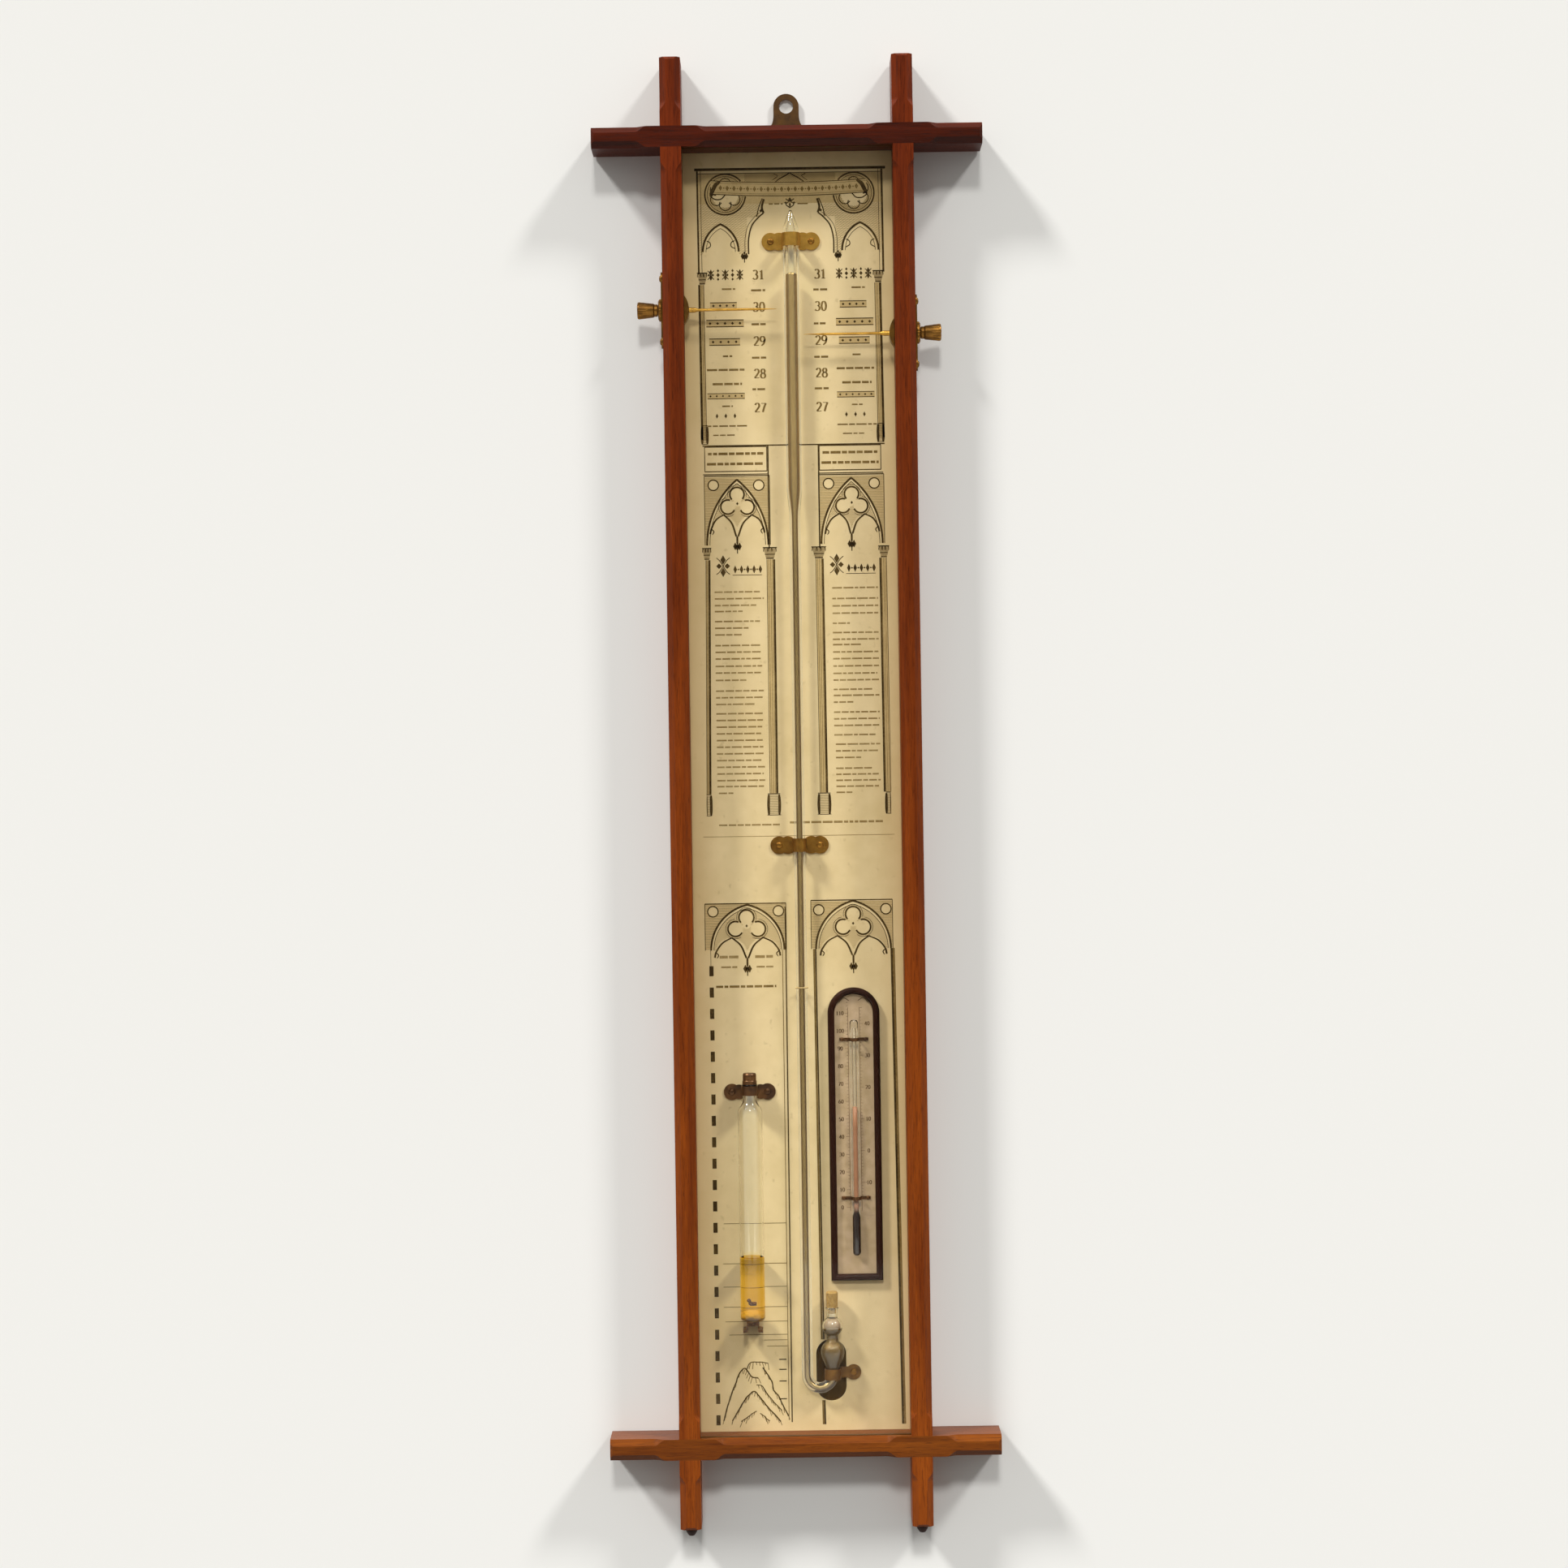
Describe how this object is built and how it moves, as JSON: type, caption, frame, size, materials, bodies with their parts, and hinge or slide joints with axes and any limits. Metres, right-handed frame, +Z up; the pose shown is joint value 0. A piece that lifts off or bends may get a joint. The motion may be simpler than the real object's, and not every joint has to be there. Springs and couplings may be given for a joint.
{
  "type": "wall barometer",
  "caption": "Long siphon-tube wall barometer in a crossed-bar glazed wooden frame, with a printed chart, storm glass, thermometer and two sliding brass pointers.",
  "frame": {"origin": "centre of the hanging hole, on the wall plane", "axes": "+X to the viewer's right, +Y into the wall (the front faces -Y), +Z up"},
  "size_m": [0.29, 0.036, 1.0984],
  "materials": {
    "frame_wood": "satin varnish",
    "slip_wood": "satin varnish",
    "board_wood": "plain",
    "black_wood": "ebonised, satin",
    "pane_glass": "clear",
    "tube_glass": "clear",
    "card": "printed, matt",
    "brass": "aged",
    "dark_brass": "tarnished",
    "bronze": "bronzed",
    "mercury": "liquid, dulled",
    "cork": "plain cork",
    "storm_liquid": "tinted liquid",
    "crystals": "crystalline",
    "scale_plate": "silvered, matt",
    "spirit": "dyed spirit"
  },
  "bodies": {
    "frame": {"left_stile": "frame_wood", "right_stile": "frame_wood", "top_rail": "frame_wood", "bottom_rail": "frame_wood", "left_tip": "black_wood", "right_tip": "black_wood", "glass_pane": "pane_glass", "left_slip": "slip_wood", "right_slip": "slip_wood", "top_slip": "slip_wood", "bottom_slip": "slip_wood", "chart": "card", "backboard": "board_wood", "backboard_pins": "dark_brass", "hanger_plate": "bronze", "hanger_screws": "bronze", "barometer_tube": "tube_glass", "mercury": "mercury", "cistern_stopper": "cork", "upper_tube_clip": "brass", "middle_tube_clip": "brass", "cistern_clip": "brass", "clip_screws": "brass", "storm_glass": "tube_glass", "storm_liquid": "storm_liquid", "storm_crystals": "crystals", "storm_stopper": "dark_brass", "storm_clip": "dark_brass", "storm_stirrup": "dark_brass", "storm_screws": "dark_brass", "thermometer_frame": "black_wood", "thermometer_plate": "scale_plate", "thermometer_tube": "tube_glass", "thermometer_spirit": "spirit", "thermometer_clips": "brass", "thermometer_pins": "brass"},
    "left_carriage": {"left_slide_plate": "brass", "left_spindle": "brass", "left_inner_plate": "brass", "left_pointer": "brass", "left_collar": "brass"},
    "left_turnknob": {"left_knob": "brass"},
    "right_carriage": {"right_slide_plate": "brass", "right_spindle": "brass", "right_inner_plate": "brass", "right_pointer": "brass", "right_collar": "brass"},
    "right_turnknob": {"right_knob": "brass"}
  },
  "joints": [
    {"name": "left_pointer_slide", "type": "slide", "parent": "frame", "child": "left_carriage", "axis": [0, 0, 1], "range_m": [-0.073, 0.027]},
    {"name": "right_pointer_slide", "type": "slide", "parent": "frame", "child": "right_carriage", "axis": [0, 0, 1], "range_m": [-0.0537, 0.0463]},
    {"name": "left_knob_turn", "type": "hinge", "parent": "left_carriage", "child": "left_turnknob", "pos_m": [-0.105, -0.018, -0.1541], "axis": [-1, 0, 0], "range_deg": [0, 360]},
    {"name": "right_knob_turn", "type": "hinge", "parent": "right_carriage", "child": "right_turnknob", "pos_m": [0.105, -0.018, -0.1734], "axis": [1, 0, 0], "range_deg": [0, 360]}
  ]
}
